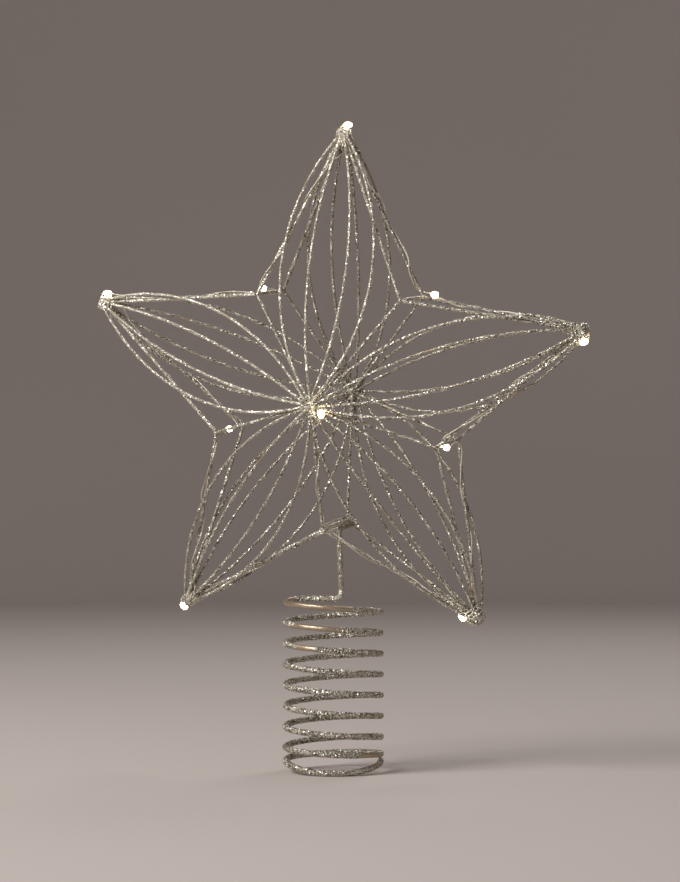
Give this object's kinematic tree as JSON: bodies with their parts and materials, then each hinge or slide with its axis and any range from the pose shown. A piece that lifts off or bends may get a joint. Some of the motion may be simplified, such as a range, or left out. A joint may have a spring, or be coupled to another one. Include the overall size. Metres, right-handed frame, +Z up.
{
  "type": "christmas tree topper star",
  "caption": "Five-pointed star cage of glittered wire with small warm lights along its edges, on a stem and a spiral wire coil that slips over the tip of a tree.",
  "frame": {"origin": "on the axis of the mounting coil, at the coil's open lower end", "axes": "+Z up along the coil's axis, -Y the way the front of the star faces, +X to the right as seen from the front"},
  "size_m": [0.2457, 0.066, 0.3003],
  "materials": {
    "star_wire": "champagne and silver glitter over brass-coloured wire",
    "mount_wire": "champagne glitter, thin in places so that the brass-coloured wire shows",
    "solder": "glittered solder bead",
    "light_wire": "thin enamelled wire, satin",
    "led_resin": "clear cast resin drop, lit warm white",
    "led_chip": "phosphor-coated chip"
  },
  "bodies": {
    "mount": {"mounting_coil": "mount_wire"},
    "star": {"centre_led": "led_resin", "front_hub": "solder", "front_ridges": "star_wire", "led_chips": "led_chip", "left_front_lower_edge": "star_wire", "left_front_ribs": "star_wire", "left_front_upper_edge": "star_wire", "left_rear_lower_edge": "star_wire", "left_rear_ribs": "star_wire", "left_rear_upper_edge": "star_wire", "left_tip_led": "led_resin", "left_tip_weld": "solder", "light_wire": "light_wire", "lower_left_front_left_edge": "star_wire", "lower_left_front_ribs": "star_wire", "lower_left_front_right_edge": "star_wire", "lower_left_rear_left_edge": "star_wire", "lower_left_rear_ribs": "star_wire", "lower_left_rear_right_edge": "star_wire", "lower_left_spacer": "star_wire", "lower_left_tip_led": "led_resin", "lower_left_tip_weld": "solder", "lower_left_valley_led": "led_resin", "lower_right_front_left_edge": "star_wire", "lower_right_front_ribs": "star_wire", "lower_right_front_right_edge": "star_wire", "lower_right_rear_left_edge": "star_wire", "lower_right_rear_ribs": "star_wire", "lower_right_rear_right_edge": "star_wire", "lower_right_spacer": "star_wire", "lower_right_tip_led": "led_resin", "lower_right_tip_weld": "solder", "lower_right_valley_led": "led_resin", "rear_hub": "solder", "rear_ridges": "star_wire", "right_front_lower_edge": "star_wire", "right_front_ribs": "star_wire", "right_front_upper_edge": "star_wire", "right_rear_lower_edge": "star_wire", "right_rear_ribs": "star_wire", "right_rear_upper_edge": "star_wire", "right_tip_led": "led_resin", "right_tip_weld": "solder", "stem": "mount_wire", "stem_bar": "mount_wire", "top_front_left_edge": "star_wire", "top_front_ribs": "star_wire", "top_front_right_edge": "star_wire", "top_rear_left_edge": "star_wire", "top_rear_ribs": "star_wire", "top_rear_right_edge": "star_wire", "top_tip_led": "led_resin", "top_tip_weld": "solder", "upper_left_spacer": "star_wire", "upper_left_valley_led": "led_resin", "upper_right_spacer": "star_wire", "upper_right_valley_led": "led_resin"}
  },
  "joints": [
    {"name": "coil_press", "type": "slide", "parent": "mount", "child": "star", "axis": [0, 0, 1], "range_m": [-0.02, 0], "stiffness_N_per_m": 300, "springref_m": 0.003, "deforming": ["mounting_coil"]}
  ]
}
